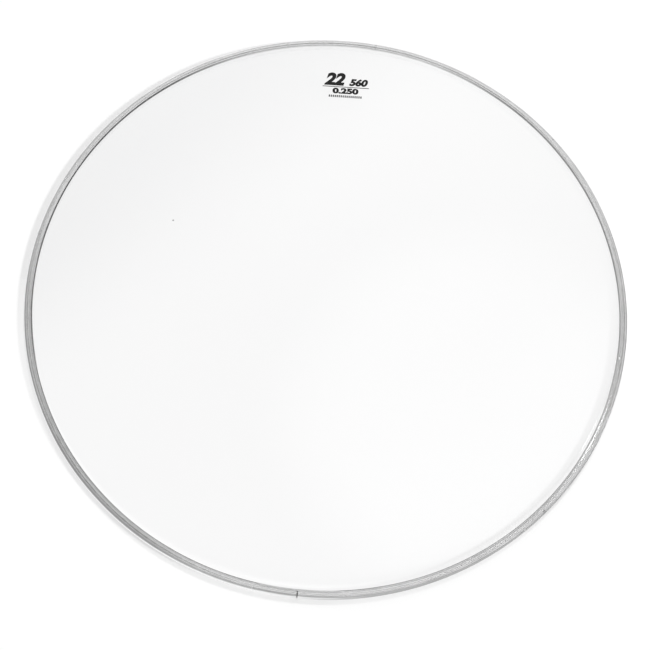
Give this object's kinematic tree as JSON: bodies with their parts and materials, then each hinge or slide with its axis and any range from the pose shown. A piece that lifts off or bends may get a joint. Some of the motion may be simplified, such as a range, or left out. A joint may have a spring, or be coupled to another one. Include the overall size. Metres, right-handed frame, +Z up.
{
  "type": "drum head",
  "caption": "Clear single-ply drum head: a flat film with a formed collar, its edge locked by resin in a slim aluminium channel hoop.",
  "frame": {"origin": "on the head's axis, in the plane that the hoop's underside rests on", "axes": "+Z up through the playing face, -Y towards the butt joint in the hoop, +X to the right of it"},
  "size_m": [0.5752, 0.5752, 0.0185],
  "materials": {
    "hoop": "rolled, lightly scuffed",
    "key": "plain mill",
    "film": "clear, glossy",
    "resin": "cured, dull grey"
  },
  "bodies": {
    "hoop": {"hoop_channel": "hoop", "joint_key": "key", "locking_resin": "resin"},
    "film": {"playing_film": "film"}
  },
  "joints": [
    {"name": "film_deflection", "type": "slide", "parent": "hoop", "child": "film", "axis": [0, 0, 1], "range_m": [-0.006, 0.006], "stiffness_N_per_m": 6000, "deforming": ["playing_film"]}
  ]
}
